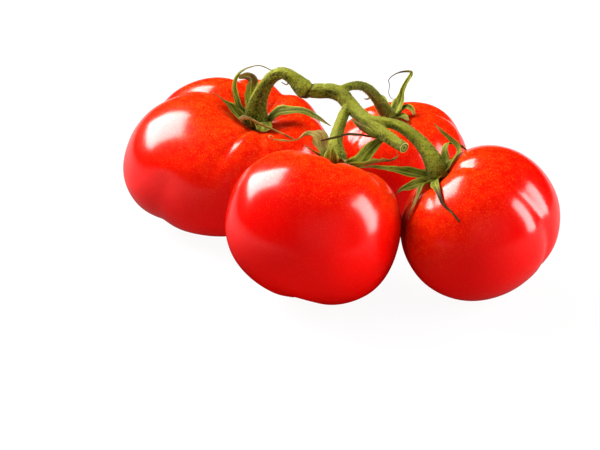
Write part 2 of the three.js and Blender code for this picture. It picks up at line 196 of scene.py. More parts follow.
# The knuckle where the left stalk snaps off: a fine groove across the stem, with a pale band beside it on top
# and a dark brown patch beneath.
KNUCKLE = {
    "at": (3.4, 47.7, 68.8), "axis": (0.83, -0.1, -0.55), "reach": 6, "depth": 0.22, "width": 0.5,
    "band": {"past": -1.7, "width": 1.2, "lowest": -1.5, "strength": 0.8},
    "scorch": {"at": (-1.2, -2, -3.4), "width": 2.6, "strength": 0.9},
}


def sepal(azimuth, widths, path, roll=(0, 0), cup=0.45, dry=(0.7, 1), ripple=0.1, brown=0.2):
    """One sepal. azimuth = where it leaves the calyx, in its fruit's own frame; widths = half its width at
    even steps; path = out, side and up from the stem end, after the root; roll = turn of the blade about
    its own line at even steps, in degrees; cup = depth of its channel; dry = shares of its length between
    which it turns from green to straw; ripple = unevenness of its edges; brown = how dark it dries."""
    return {
        "azimuth": azimuth, "widths": widths, "path": path, "roll": roll, "cup": cup, "dry": dry,
        "ripple": ripple, "brown": brown,
    }


SEPALS = {
    "left": [
        sepal(155, (1.8, 2, 2, 1.9, 1.6, 1, 0.4, 0.3, 0.4, 0.75, 0.3),
              [(10, 0, 6), (13, -1, 10), (14.5, -1, 14.5), (14, -2, 19.5), (12, -2.5, 22.5),
               (8.5, -2.5, 25.5), (4.5, -3, 27.5), (-0.1, -6, 25.4), (-3.1, -7.1, 24.3), (-6.1, -7.1, 23.1),
               (-8, -6.7, 22.5), (-8.1, -6, 21.4), (-6.7, -5.4, 21.6), (-5.4, -5, 22.3)],
              dry=(0.42, 0.6), brown=0.3),
        sepal(100, (2.3, 2.8, 3, 2.8, 1.9, 0.8),
              [(9.5, 2, 5), (11.5, 2.5, 9), (12.5, 2.5, 13), (12.5, 2.5, 16), (13, 5, 17.5), (13, 8.5, 16.5)],
              dry=(0.5, 0.75), ripple=0.2, brown=0.25),
        sepal(-166, (2.6, 3.3, 3, 0.8, 0.2),
              [(7.9, 2.3, 5), (9.5, 1.2, 6.1), (11.8, -0.8, 8), (14.4, -2.9, 9.9), (17.5, -4.1, 12.4),
               (20.6, -5.3, 14.1)],
              roll=(0, -20, -20, 0, 0), dry=(0.6, 0.85)),
        sepal(-130, (1.4, 1.5, 1.2, 0.6, 0.5, 0.45, 0.4, 0.3),
              [(9, -0.9, 4.4), (10.9, -1.3, 6.4), (11, 0.3, 9.1), (10, 3, 9.4), (8.6, 7.5, 8.7),
               (6.7, 13.2, 8.2), (4.7, 18.4, 7.4), (3.2, 22.8, 6.7)],
              dry=(0, 0.15), ripple=0.4, brown=0.15),
        sepal(-80, (2.8, 4.2, 4.6, 4, 1.9), [(6.8, -0.5, 6.5), (9.9, -0.1, 6.4), (12.8, -1.2, 6)],
              cup=0.25, dry=(0.85, 1.2)),
        sepal(5, (3, 3.6, 2.8, 2, 1.5, 0.9, 0.2),
              [(8.5, -0.5, 8), (13, -3, 11), (17.5, -5.5, 13), (21.5, -9, 13.5), (28, -16.5, 14)]),
    ],
    "front": [
        sepal(172, (2.2, 3, 3, 1.9, 0.8, 0.55, 0.55, 0.4),
              [(7.5, 2, 8), (9, 2, 10.5), (12, 1.5, 11.5), (14.5, 2, 10.5), (17, 2.5, 8), (20, 3.5, 6.5),
               (24, 4.5, 5.5), (27.5, 5.5, 5.5), (28, 5.2, 6.6), (26.4, 4.8, 6.6)],
              roll=(0, -50, -60, -50, -20, 0, 0, 0), dry=(0, 0.3), ripple=0.4, brown=0),
        sepal(-150, (2, 1.8, 1.2, 0.5, 0.2), [(8.5, 0, 4.2), (12, -1, 5.4), (15, -2, 6.4)]),
        sepal(-112, (2.4, 3.2, 3.4, 3, 1.4), [(6.8, 0.3, 3.2), (8.4, 0.2, 5.4), (9, -0.2, 7.8)],
              cup=0.35, dry=(1.2, 1.5)),
        sepal(-72, (1.4, 1.7, 1.6, 1.2, 0.5), [(7.5, -0.2, 4.4), (9.5, -0.2, 4.8), (11, -0.2, 4)],
              dry=(0.1, 0.5)),
        sepal(-14, (2, 2.8, 2.8, 2.4, 1.5, 0.8, 0.6, 0.55, 0.55, 0.5, 0.45, 0.3),
              [(8.4, 0.5, 5.5), (9, 4, 8.5), (9.8, 7.5, 12), (10.6, 11.5, 15), (11.6, 14, 17.5),
               (12.2, 16.2, 18.2), (8.2, 16.9, 18.3), (5.2, 13.6, 17.7), (2.8, 4.8, 16.5), (1.2, -3.4, 14.9),
               (-1.4, -5.8, 12.9), (-4, -7.1, 11.2), (-6.2, -8.5, 9.8)],
              roll=(60, 90, 90, 90, 90, 60, 0, 0, 0, 0), cup=0.7, dry=(0.4, 0.55), brown=0.7),
        sepal(-46, (1.8, 2.4, 2.3, 1.8, 1.1, 0.4),
              [(8.6, 0, 3.4), (10.2, 3.5, 4.8), (11.5, 8, 7), (13, 12, 9), (14.4, 15.6, 10.5),
               (15, 17.4, 12.5), (14.4, 16.6, 14.5)],
              dry=(0.3, 0.8), ripple=0.3, brown=0.3),
    ],
    "right": [
        sepal(140, (2.6, 3, 2.4, 1.5, 0.9, 0.25),
              [(8.5, 1.5, 8), (11, 3, 11.5), (12.5, 4.5, 14.5), (13.5, 7, 18), (15, 9.5, 21.5),
               (16.5, 13, 24.5)]),
        sepal(-176, (2.2, 2.7, 2.2, 1.2, 0.25), [(8, 0.5, 4.8), (11, 0, 6), (14.5, -1, 7.2), (17.5, -2, 7)],
              roll=(0, -35, -40, -20)),
        sepal(-138, (1.7, 1.8, 1.5, 0.9, 0.2),
              [(8, -0.5, 4.2), (11.5, -0.3, 3.4), (17, 0, 2.2), (20, -1.5, 1), (22, -3.6, -0.8)],
              dry=(0.3, 0.8)),
        sepal(-98, (1.8, 2.1, 1, 0.45, 0.35),
              [(9, -0.4, 2.6), (15.5, 0.6, 2.4), (19.2, 0.6, 1), (22.2, 0.2, -1), (24.4, 0.4, -3),
               (26.6, 1.4, -5.4), (29.5, 2, -10)],
              dry=(0.35, 0.5), brown=0.6),
        sepal(-12, (2.2, 2.5, 1.7, 1.3, 1.1, 0.9, 0.2),
              [(8.5, 2.5, 2), (11, 5, 2.6), (12, 7.2, 4), (12, 9, 6.5), (11, 10.4, 9), (9.8, 12, 13),
               (9, 13.4, 17)],
              ripple=0.2),
        sepal(42, (1.9, 2.4, 2, 1.6, 0.4),
              [(8.9, 0, 3.2), (11.5, 0.4, 6), (14.5, 0.4, 7), (16, -1, 5), (16.4, -3, 1.5),
               (15.2, -4.4, -2.2)],
              dry=(0.5, 0.9)),
        sepal(92, (2.2, 2.9, 2.9, 2.3, 1), [(7.8, 0, 4), (9.8, -1, 5.6), (11.4, -3, 6)], ripple=0.2),
    ],
    "back": [
        sepal(38, (3.8, 3.8, 1.6, 1.1, 1, 0.6, 0.2, 0.14, 0.12, 0.1),
              [(5.6, -0.5, 7), (7, -1, 12), (8.5, -2, 15.5), (10.5, -3, 18.5), (10, -4, 20.5),
               (6, -2.5, 21.5), (1.5, -1.5, 21), (-0.4, -0.5, 19.1),
               (-0.3, -0.7, 16.8), (-0.9, -0.4, 13.2), (-0.3, -1, 10.8), (1.3, -2.3, 9.6)],
              dry=(0.42, 0.6), brown=0.6),
        sepal(-16, (2, 2.4, 2.2, 1.6, 0.6), [(6.5, 0.5, 5.6), (9, -0.5, 5.2), (10.5, -2, 3.6)]),
        sepal(-60, (2.2, 2.8, 2.6, 1.7, 0.6), [(6.6, 0.5, 3.2), (9, 1, 3.6), (11.5, 1, 3.2)]),
        sepal(168, (1.6, 1.6, 1.1, 0.8, 0.2),
              [(6.5, 0.9, 9.9), (8.1, 2.6, 13.3), (7.9, 4.1, 12.8), (9.1, 4.9, 12.3), (10.6, 4.2, 12.2)],
              dry=(0.4, 0.7)),
        sepal(112, (2.1, 2, 1.6, 1, 0.3), [(7.5, 0, 4), (11.5, -1, 5.6), (16, -2, 5), (19, -3, 3.4)]),
    ],
}

# A dry bract under the main stem, in the layout itself.
BRACT = sepal(0, (1, 1.6, 1.5, 1, 0.3),
              [(30.4, 18.4, 60.4), (28.4, 19.2, 61.3), (26, 21, 62.2), (23.3, 23, 63.3), (20.4, 25.6, 65)],
              dry=(0.2, 0.7), brown=0.45)


# Lines and closed shapes
def smoothstep(value, low, high):
    """0 below the low value and 1 above the high one, with a smooth rise between."""
    share = np.clip((value - low) / (high - low), 0, 1)
    return share * share * (3 - 2 * share)


def along_curve(rows, spacing):
    """A smooth line through rows of x, y, z and further values, as evenly spaced rows."""
    rows = np.array(rows, float)
    ends = np.vstack([2 * rows[0] - rows[1], rows, 2 * rows[-1] - rows[-2]])
    knots = np.linalg.norm(np.diff(ends[:, :3], axis=0), axis=1) ** 0.5
    fine = []
    t = np.linspace(0, 1, 16, endpoint=False)[:, None]
    for i in range(1, len(ends) - 2):
        before, here, there, after = ends[i - 1:i + 3]
        k0, k1, k2 = knots[i - 1:i + 2]
        leave = ((here - before) / k0 - (there - before) / (k0 + k1) + (there - here) / k1) * k1
        arrive = ((there - here) / k1 - (after - here) / (k1 + k2) + (after - there) / k2) * k1
        fine.append((2 * t**3 - 3 * t**2 + 1) * here + (t**3 - 2 * t**2 + t) * leave
                    + (3 * t**2 - 2 * t**3) * there + (t**3 - t**2) * arrive)
    fine = np.vstack([*fine, rows[-1:]])
    run = np.concatenate([[0], np.cumsum(np.linalg.norm(np.diff(fine[:, :3], axis=0), axis=1))])
    even = np.linspace(0, run[-1], max(5, round(run[-1] / spacing) + 1))
    return np.stack([np.interp(even, run, column) for column in fine.T], axis=1)


def unit(vectors):
    return vectors / np.linalg.norm(vectors, axis=-1, keepdims=True)


def carried_frames(line, across):
    """Sideways and upward directions at each point of a line, with no twist along it."""
    tangent = unit(np.gradient(line, axis=0))
    wide = np.empty_like(tangent)
    last = np.array(across, float)
    for i, along in enumerate(tangent):
        last = unit(last - along * last.dot(along))
        wide[i] = last
    return wide, np.cross(tangent, wide)


def closed_loft(rings, start, end):
    """Points and faces of a closed shape through rings of the same number of points."""
    count, sides = rings.shape[:2]
    points = np.vstack([rings.reshape(-1, 3), start, end])
    first, last = count * sides, count * sides + 1
    faces = []
    for k in range(sides):
        after = (k + 1) % sides
        low = (count - 1) * sides
        faces.append((first, after, k))
        faces.append((last, low + k, low + after))
        for i in range(0, low, sides):
            faces.append((i + k, i + after, i + sides + after, i + sides + k))
    return points, faces


def tube(rows):
    """A round stem through rows of x, y, z and radius."""
    fine = along_curve(rows, STEM_STEP)
    line = fine[:, :3]
    wide, thick = carried_frames(line, STEM_ACROSS)
    angle = np.linspace(0, 2 * np.pi, STEM_SIDES, endpoint=False)[None, :, None]
    rings = line[:, None] + fine[:, None, 3:4] * (
        wide[:, None] * np.cos(angle) + thick[:, None] * np.sin(angle))
    return closed_loft(rings, line[0], line[-1])


# Pieces
def make_mesh(name, points, faces, **values):
    """A smooth mesh in metres, from points in millimetres in the part's frame, with values at its points."""
    mesh = bpy.data.meshes.new(name)
    mesh.from_pydata((points * MM).tolist(), [], faces)
    mesh.polygons.foreach_set("use_smooth", [True] * len(mesh.polygons))
    for key, numbers in values.items():
        numbers = np.array(numbers, np.float32)
        kind = "FLOAT_VECTOR" if numbers.ndim == 2 else "FLOAT"
        attribute = mesh.attributes.new(key, kind, "POINT")
        attribute.data.foreach_set("vector" if numbers.ndim == 2 else "value", numbers.ravel())
    return mesh


def add_object(name, data):
    """An object in the scene with that mesh, light or camera."""
    made = bpy.data.objects.new(name, data)
    bpy.context.scene.collection.objects.link(made)
    return made


def add_piece(name, mesh, material, slot, *nodes):
    """A visible piece with its material and the CAD nodes that it stands for; the slot is not used."""
    piece = add_object(name, mesh)
    mesh.materials.append(material)
    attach(piece, "root")
    if nodes:
        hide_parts(*nodes)


# Shared effects
def group(name, inputs, outputs):
    """An empty node group with named float inputs and outputs; a vector input is one that starts at None."""
    tree = bpy.data.node_groups.new(name, "ShaderNodeTree")
    for label, start in inputs.items():
        kind = "NodeSocketVector" if start is None else "NodeSocketFloat"
        socket = tree.interface.new_socket(label, in_out="INPUT", socket_type=kind)
        if start is not None:
            socket.default_value = start
    for label in outputs:
        tree.interface.new_socket(label, in_out="OUTPUT", socket_type="NodeSocketFloat")
    return tree, tree.nodes.new("NodeGroupInput").outputs, tree.nodes.new("NodeGroupOutput").inputs


def wire(tree, kind, values=(), **settings):
    """A node with its settings; values fill its inputs by name or number, from sockets or numbers."""
    node = tree.nodes.new(kind)
    for key, value in settings.items():
        setattr(node, key, value)
    for key, value in dict(values).items():
        if isinstance(value, bpy.types.NodeSocket):
            tree.links.new(value, node.inputs[key])
        else:
            node.inputs[key].default_value = value
    return node


def reckoned(tree, operation, *values):
    """Masks and numbers taken together in turn by one operation."""
    result = values[0]
    for value in values[1:]:
        result = wire(tree, "ShaderNodeMath", {0: result, 1: value}, operation=operation).outputs[0]
    return result


def times(tree, *values):
    return reckoned(tree, "MULTIPLY", *values)


def added(tree, *values):
    return reckoned(tree, "ADD", *values)


def scaled(tree, value, low, high, to_low=0.0, to_high=1.0):
    """The value stretched from one range to another, smoothly."""
    values = {"Value": value, "From Min": low, "From Max": high, "To Min": to_low, "To Max": to_high}
    return wire(tree, "ShaderNodeMapRange", values, interpolation_type="SMOOTHSTEP").outputs["Result"]


def blended(tree, factor, first, second):
    """The first colour where the factor is 0 and the second where it is 1."""
    values = {"Factor": factor, 6: first, 7: second}
    return wire(tree, "ShaderNodeMix", values, data_type="RGBA").outputs[2]


def mottle_group():
    """Soft blotches of uneven shape: Mask is 0 to 1."""
    tree, given, out = group("Mottle", {"Vector": None, "Scale": 100.0, "Edge": 0.15, "Level": 0.5}, ["Mask"])
    cloud = wire(tree, "ShaderNodeTexNoise",
                 {"Vector": given["Vector"], "Scale": given["Scale"], "Detail": 3.0, "Roughness": 0.55})
    low = reckoned(tree, "SUBTRACT", given["Level"], given["Edge"])
    high = added(tree, given["Level"], given["Edge"])
    tree.links.new(scaled(tree, cloud.outputs["Fac"], low, high), out["Mask"])
    return tree


DOT_SOFTNESS = 1.6  # where a dot has faded out, in times its size


def speck_group():
    """Small round dots of uneven size: Mask is 1 in a dot."""
    tree, given, out = group("Specks", {"Vector": None, "Scale": 900.0, "Size": 0.3}, ["Mask"])
    cells = wire(tree, "ShaderNodeTexVoronoi", {"Vector": given["Vector"], "Scale": given["Scale"]})
    apart = wire(tree, "ShaderNodeSeparateColor", {0: cells.outputs["Color"]})
    size = times(tree, given["Size"], apart.outputs[0])
    soft = times(tree, size, DOT_SOFTNESS)
    tree.links.new(scaled(tree, cells.outputs["Distance"], size, soft, 1.0, 0.0), out["Mask"])
    return tree


def fibre_group():
    """Streaks along a stem or a sepal, from its own grain directions: Mask is 0 to 1."""
    tree, given, out = group("Fibre", {"Vector": None, "Scale": 1.2}, ["Mask"])
    streaks = wire(tree, "ShaderNodeTexNoise",
                   {"Vector": given["Vector"], "Scale": given["Scale"], "Detail": 4.0, "Roughness": 0.6})
    tree.links.new(scaled(tree, streaks.outputs["Fac"], 0.35, 0.65), out["Mask"])
    return tree


MOTTLE = mottle_group()
SPECKS = speck_group()
FIBRE = fibre_group()


def effect(tree, made, **values):
    """The mask of a shared effect, placed in a material with its own values."""
    return wire(tree, "ShaderNodeGroup", values, node_tree=made).outputs["Mask"]


def attribute(tree, name, output="Fac"):
    """What a mesh says of its own points under that name."""
    return wire(tree, "ShaderNodeAttribute", attribute_name=name).outputs[output]


def new_material(name, **constants):
    """A material, its node tree and its Principled shader, with that shader's constants set."""
    material = bpy.data.materials.new(name)
    material.use_nodes = True
    tree = material.node_tree
    shader = tree.nodes["Principled BSDF"]
    for key, value in constants.items():
        shader.inputs[key.replace("_", " ")].default_value = value
    return material, tree, shader


def places(tree):
    """Where a point is in the part's frame, in metres."""
    return wire(tree, "ShaderNodeTexCoord").outputs["Object"]


def finish_with(tree, shader, colour, roughness=None, height=None, distance=0.0, strength=0.0):
    """The shader's colour, roughness and relief; distance and strength belong to the relief."""
    tree.links.new(colour, shader.inputs["Base Color"])
    if roughness is not None:
        tree.links.new(roughness, shader.inputs["Roughness"])
    if height is not None:
        relief = wire(tree, "ShaderNodeBump", {"Height": height, "Distance": distance, "Strength": strength})
        tree.links.new(relief.outputs["Normal"], shader.inputs["Normal"])


# Colours and materials
RED = (0.62, 0.0012, 0.0003, 1)
DEEP_RED = (0.44, 0.0006, 0.0004, 1)
# the painted light on the lit shoulders
ORANGE = (0.75, 0.045, 0.002, 1)
GOLD = (1, 0.36, 0.04, 1)
CORK = (0.2, 0.09, 0.03, 1)


def skin_material():
    """Ripe tomato skin: deep red with fine golden specks, and painted light as orange on the shoulders, where
    the key light falls and the specks show more.
    """
    material, tree, shader = new_material(
        "tomato_skin", Specular_IOR_Level=0, Coat_Weight=1.0, Coat_Roughness=0.2, Coat_IOR=1.42,
        Subsurface_Weight=0.12, Subsurface_Radius=(1, 0.15, 0.05), Subsurface_Scale=0.004)
    place = places(tree)
    down = attribute(tree, "polar")
    # Painted light: the shoulders towards the stem end are tinted orange for the glow where the key light
    # falls on the upper side, and the golden specks are stronger there.
    lit_shoulders = scaled(tree, down, 0.55, 0.1)
    cloud = effect(tree, MOTTLE, Vector=place, Scale=26.0, Level=0.5, Edge=0.2)
    fine = effect(tree, MOTTLE, Vector=place, Scale=320.0, Level=0.5, Edge=0.16)
    colour = blended(tree, times(tree, cloud, 0.5), RED, DEEP_RED)
    tint = times(tree, lit_shoulders, added(tree, times(tree, fine, 0.5), 0.32))
    colour = blended(tree, tint, colour, ORANGE)
    specks = effect(tree, SPECKS, Vector=place, Scale=1700.0, Size=0.34)
    colour = blended(tree, times(tree, specks, added(tree, times(tree, lit_shoulders, 0.2), 0.04)), colour, GOLD)
    colour = blended(tree, scaled(tree, down, 0.975, 0.99), colour, CORK)
    roughness = added(tree, times(tree, fine, 0.05), 0.48)
    swell = effect(tree, MOTTLE, Vector=place, Scale=700.0, Level=0.5, Edge=0.4)
    height = added(tree, times(tree, swell, 0.5), times(tree, specks, 0.4))
    finish_with(tree, shader, colour, roughness, height, 0.00005, 0.25)
    return material


LIT_SIDE = (-0.45, -0.2, 0.87)  # the side painted paler, as lit, while the side turned away is painted in shade
STEM_GREEN = (0.1, 0.115, 0.005, 1)
STEM_PALE = (0.3, 0.3, 0.025, 1)
STEM_DARK = (0.018, 0.025, 0.0015, 1)
KNUCKLE_DARK = (0.035, 0.015, 0.004, 1)


def stem_material():
    """Downy green stem: paler streaks, dark green dots, a dark brown groove and patch at the knuckle, and
    painted light and shade: paler on the side towards the light, darker on the side away from it.
    """
    material, tree, shader = new_material(
        "green_stem", Sheen_Weight=0.05, Sheen_Roughness=0.4, Specular_IOR_Level=0.12,
        Subsurface_Weight=0.08, Subsurface_Radius=(0.5, 1, 0.2), Subsurface_Scale=0.002)
    place = places(tree)
    grain = attribute(tree, "grain", "Vector")
    streak = effect(tree, FIBRE, Vector=grain, Scale=1.1)
    cloud = effect(tree, MOTTLE, Vector=place, Scale=160.0, Level=0.5, Edge=0.2)
    dots = effect(tree, SPECKS, Vector=place, Scale=900.0, Size=0.5)
    colour = blended(tree, times(tree, streak, 0.5), STEM_GREEN, STEM_PALE)
    colour = blended(tree, times(tree, cloud, 0.5), colour, STEM_DARK)
    colour = blended(tree, times(tree, dots, 0.8), colour, STEM_DARK)
    # Painted light and shade: paler where the stem faces the light, darker on its underside, away from it.
    facing = wire(tree, "ShaderNodeNewGeometry").outputs["Normal"]
    facing_light = wire(tree, "ShaderNodeVectorMath", {0: facing, 1: LIT_SIDE}, operation="DOT_PRODUCT")
    facing_light = facing_light.outputs["Value"]
    colour = blended(tree, scaled(tree, facing_light, 0.4, 1.0, 0.0, 0.5), colour, STEM_PALE)
    colour = blended(tree, scaled(tree, facing_light, 0.2, -0.6, 0.0, 0.55), colour, STEM_DARK)
    glints = effect(tree, SPECKS, Vector=place, Scale=1500.0, Size=0.42)
    colour = blended(tree, times(tree, glints, 0.5), colour, STEM_PALE)
    colour = blended(tree, attribute(tree, "pale"), colour, STEM_PALE)
    # Dark brown in the knuckle's groove and in a patch beneath it.
    colour = blended(tree, attribute(tree, "scorch"), colour, KNUCKLE_DARK)
    roughness = added(tree, times(tree, streak, 0.15), 0.5)
    height = added(tree, times(tree, streak, 0.5), times(tree, cloud, 0.5), times(tree, dots, 0.5))
    finish_with(tree, shader, colour, roughness, height, 0.0006, 0.9)
    return material


PITH = (0.24, 0.26, 0.05, 1)
PITH_DARK = (0.05, 0.06, 0.01, 1)
RIND = (0.45, 0.48, 0.15, 1)
HAIR_PALE = (0.4, 0.42, 0.12, 1)
LEAF_GREEN = (0.055, 0.072, 0.003, 1)
LEAF_PALE = (0.38, 0.38, 0.04, 1)
STRAW = (0.52, 0.39, 0.11, 1)
DRY_BROWN = (0.05, 0.025, 0.006, 1)


def sepal_material():
    """Sepal: green with pale veins and margins, drying to straw and brown towards its tip."""
    material, tree, shader = new_material(
        "green_sepal", Sheen_Weight=0.04, Sheen_Roughness=0.4, Specular_IOR_Level=0.15,
        Subsurface_Weight=0.1, Subsurface_Radius=(0.5, 1, 0.2), Subsurface_Scale=0.001)
    place = places(tree)
    grain = attribute(tree, "grain", "Vector")
    across = attribute(tree, "across")
    streak = effect(tree, FIBRE, Vector=grain, Scale=1.8)
    cloud = effect(tree, MOTTLE, Vector=place, Scale=230.0, Level=0.5, Edge=0.2)
    dots = effect(tree, SPECKS, Vector=place, Scale=1300.0, Size=0.35)
    colour = blended(tree, times(tree, streak, 0.5), LEAF_GREEN, LEAF_PALE)
    margin = scaled(tree, across, 0.66, 0.92)
    midrib = scaled(tree, across, 0.2, 0.04)
    colour = blended(tree, times(tree, margin, 0.9), colour, LEAF_PALE)
    colour = blended(tree, times(tree, midrib, 0.6), colour, LEAF_PALE)
    colour = blended(tree, times(tree, dots, 0.35), colour, STEM_DARK)
    faded = added(tree, times(tree, cloud, 0.4), times(tree, streak, 0.4), attribute(tree, "brown"))
    withered = blended(tree, faded, STRAW, DRY_BROWN)
    colour = blended(tree, attribute(tree, "dry"), colour, withered)
    roughness = added(tree, times(tree, streak, 0.2), 0.45)
    height = added(tree, times(tree, streak, 0.6), times(tree, cloud, 0.4), times(tree, midrib, 0.6))
    finish_with(tree, shader, colour, roughness, height, 0.0003, 0.8)
    return material


def cut_material():
    """The cut across the main stem: pale rind, dark ring, lighter pith, darker middle."""
    material, tree, shader = new_material("cut_stem", Specular_IOR_Level=0.2)
    cloud = effect(tree, MOTTLE, Vector=places(tree), Scale=900.0, Level=0.5, Edge=0.25)
    ring = attribute(tree, "ring")
    colour = blended(tree, scaled(tree, ring, 0.15, 0.4), PITH_DARK, PITH)
    colour = blended(tree, scaled(tree, ring, 0.58, 0.7), colour, PITH_DARK)
    colour = blended(tree, scaled(tree, ring, 0.8, 0.9), colour, RIND)
    colour = blended(tree, scaled(tree, ring, 1.0, 1.08), colour, STEM_GREEN)
    colour = blended(tree, times(tree, cloud, 0.3), colour, STEM_DARK)
    finish_with(tree, shader, colour, added(tree, times(tree, cloud, 0.2), 0.6), cloud, 0.0001, 0.6)
    return material


def down_material():
    """The fine pale down on the stems."""
    material, tree, shader = new_material("stem_hair", Roughness=0.7, Specular_IOR_Level=0.2)
    cloud = effect(tree, MOTTLE, Vector=places(tree), Scale=400.0, Level=0.5, Edge=0.3)
    finish_with(tree, shader, blended(tree, cloud, HAIR_PALE, STEM_PALE))
    return material


SKIN = skin_material()
STEM = stem_material()
SEPAL = sepal_material()
CUT = cut_material()
DOWN = down_material()


# Fruits
def turn(start, end):
    """Signed angle from one azimuth to another, in degrees."""
    return (end - start + 180) % 360 - 180


def fullness(fruit, polar, azimuth):
    """How far the skin stands in or out there, as a factor of the plain profile."""
    full = np.ones(np.broadcast(polar, azimuth).shape)
    for middle, depth, width, reach, start in fruit["creases"]:
        off = np.abs(turn(middle, azimuth)) / width
        fade = smoothstep(polar, reach + CREASE_FADES[0], reach + CREASE_FADES[1])
        deep = smoothstep(polar, start, start + CREASE_DEEPENS)
        full -= depth * np.exp(-off**CREASE_EDGE) * deep * (1 - fade)
    for middle, rise, width in fruit["swellings"]:
        high = smoothstep(polar, 0, SWELLING_RISES)
        full += rise * np.exp(-(turn(middle, azimuth) / width) ** 2) * high
    return full


def skin_points(fruit, polar, azimuth):
    """Points of the skin in the fruit's own frame. Polar 0 is the stem end and 180 the blossom end."""
    power = 2 / fruit["squareness"]
    dimple_depth, dimple_width = fruit["dimple"]
    up = np.cos(np.radians(polar))
    full = fullness(fruit, polar, azimuth)
    across = fruit["radius"] * np.abs(np.sin(np.radians(polar))) ** power * full
    height = fruit["height"] * np.sign(up) * np.abs(up) ** power * full
    dimple = -dimple_depth * np.exp(-((across / dimple_width) ** 2))
    scar = SCAR_DEPTH * np.exp(-((across / SCAR_WIDTH) ** 2))
    height += np.where(up > 0, dimple, scar)
    top = ((1 + up) / 2) ** 2
    bottom = ((1 - up) / 2) ** 2
    x = across * np.cos(np.radians(azimuth)) + fruit["pull"][0] * top + fruit["foot"][0] * bottom
    y = across * np.sin(np.radians(azimuth)) + fruit["pull"][1] * top + fruit["foot"][1] * bottom
    return np.stack([x, y, height], axis=-1)


def skin_shape(fruit):
    """Points, faces and polar share of the whole skin, in the fruit's own frame."""
    polar = np.linspace(0, 180, FRUIT_RINGS + 1)[1:-1, None]
    azimuth = np.linspace(-180, 180, FRUIT_SIDES, endpoint=False)[None, :]
    rings = skin_points(fruit, polar, azimuth)
    poles = skin_points(fruit, np.array([0.0, 180.0]), np.zeros(2))
    points, faces = closed_loft(rings[:, ::-1], poles[0], poles[1])
    shares = np.append(np.repeat(polar.ravel() / 180, FRUIT_SIDES), [0, 1])
    return points, faces, shares


def seat(fruit, points):
    """The lean of a fruit and its place on the table, as a matrix in millimetres."""
    lean_x, lean_y = (math.radians(angle) for angle in fruit["lean"])
    lean = Matrix.Rotation(-lean_y, 3, "X") @ Matrix.Rotation(lean_x, 3, "Y")
    lowest = (points @ np.array(lean).T)[:, 2].min()
    return Matrix.Translation((*fruit["at"], -lowest - FLAT)) @ lean.to_4x4()


def moved(points, matrix):
    """The points as the matrix turns and places them."""
    matrix = np.array(matrix)
    return points @ matrix[:3, :3].T + matrix[:3, 3]


def wavy(points):
    """The points moved in and out by a slow unevenness, as real skin has."""
    middle = points.mean(axis=0)
    out = unit(points - middle)
    waves = [noise.noise(Vector(point / WAVE_LENGTH)) for point in points]
    return points + out * WAVE * np.array(waves)[:, None]


skins = {place: skin_shape(fruit) for place, fruit in FRUITS.items()}
seats = {place: seat(fruit, skins[place][0]) for place, fruit in FRUITS.items()}

# The layout's place in the part's frame, from where the front fruit stands.
low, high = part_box("tomato_front")
front = moved(skins["front"][0], seats["front"])
front_middle = (front.min(axis=0) + front.max(axis=0)) / 2
cad_middle = np.array((low + high) / 2) / MM
SHIFT = np.array([cad_middle[0] - front_middle[0], cad_middle[1] - front_middle[1], 0])

SURFACES = []  # the skins, as trees to measure from
for place, (points, faces, shares) in skins.items():
    body = wavy(moved(points, seats[place])) + SHIFT
    body[:, 2] = np.maximum(body[:, 2], low.z / MM)
    mesh = make_mesh(f"fruit_{place}", body, faces, polar=shares)
    add_piece(f"fruit_{place}", mesh, SKIN, "skin", f"tomato_{place}")
    SURFACES.append(BVHTree.FromPolygons(body.tolist(), faces))


# Stems
def joined_shapes(shapes):
    """One set of points and faces from several."""
    points, faces = [], []
    for dots, sides in shapes:
        base = sum(len(part) for part in points)
        points.append(dots)
        faces += [tuple(base + i for i in face) for face in sides]
    return np.vstack(points), faces


def grown_together(points, faces):
    """The outer surface of overlapping tubes, with their junctions rounded, in millimetres."""
    source = add_object("stem_source", make_mesh("stem_source", points, faces))
    remesh = source.modifiers.new("grow", "REMESH")
    remesh.mode = "VOXEL"
    remesh.voxel_size = STEM_VOXEL * MM
    relax = source.modifiers.new("relax", "SMOOTH")
    relax.factor = 0.5
    relax.iterations = 5
    grown = source.evaluated_get(bpy.context.evaluated_depsgraph_get()).to_mesh()
    dots = np.array([corner.co for corner in grown.vertices]) / MM
    sides = [tuple(side.vertices) for side in grown.polygons]
    bpy.data.objects.remove(source)
    return dots, sides


stem_rows = [MAIN_STEM, *STALKS.values()]
stem_points, stem_faces = grown_together(*joined_shapes([tube(rows) for rows in stem_rows]))

# The nearest place on the stem lines gives each point its grain and its ribs.
lines, frames, runs = [], [], []
for rows in stem_rows:
    fine = along_curve(rows, STEM_STEP)[:, :3]
    wide, thick = carried_frames(fine, STEM_ACROSS)
    lines.append(fine)
    frames.append(np.stack([wide, thick], axis=1))
    runs.append(np.arange(len(fine)) * STEM_STEP)
lines, frames, runs = np.vstack(lines), np.vstack(frames), np.concatenate(runs)
nearest = KDTree(len(lines))
for i, point in enumerate(lines):
    nearest.insert(point, i)
nearest.balance()
near = np.array([nearest.find(point)[1] for point in stem_points])
offset = stem_points - lines[near]
aside = np.einsum("ijk,ik->ij", frames[near], offset)
angle = np.arctan2(aside[:, 1], aside[:, 0])
out = unit(offset)
grain = np.column_stack([runs[near] * LENGTHWAYS, aside])

from_knuckle = stem_points - KNUCKLE["at"]
past = from_knuckle @ unit(np.array(KNUCKLE["axis"]))
close = np.exp(-((np.linalg.norm(from_knuckle, axis=1) / KNUCKLE["reach"]) ** 4))
groove = np.exp(-((past / KNUCKLE["width"]) ** 2)) * close
lumps = np.array([noise.noise(Vector(point / LUMP_LENGTH)) for point in stem_points])
rise = STEM_GRAIN * (np.cos(STEM_RIBS * angle) + STEM_LUMPS * lumps) - KNUCKLE["depth"] * groove
stem_points = stem_points + out * rise[:, None]

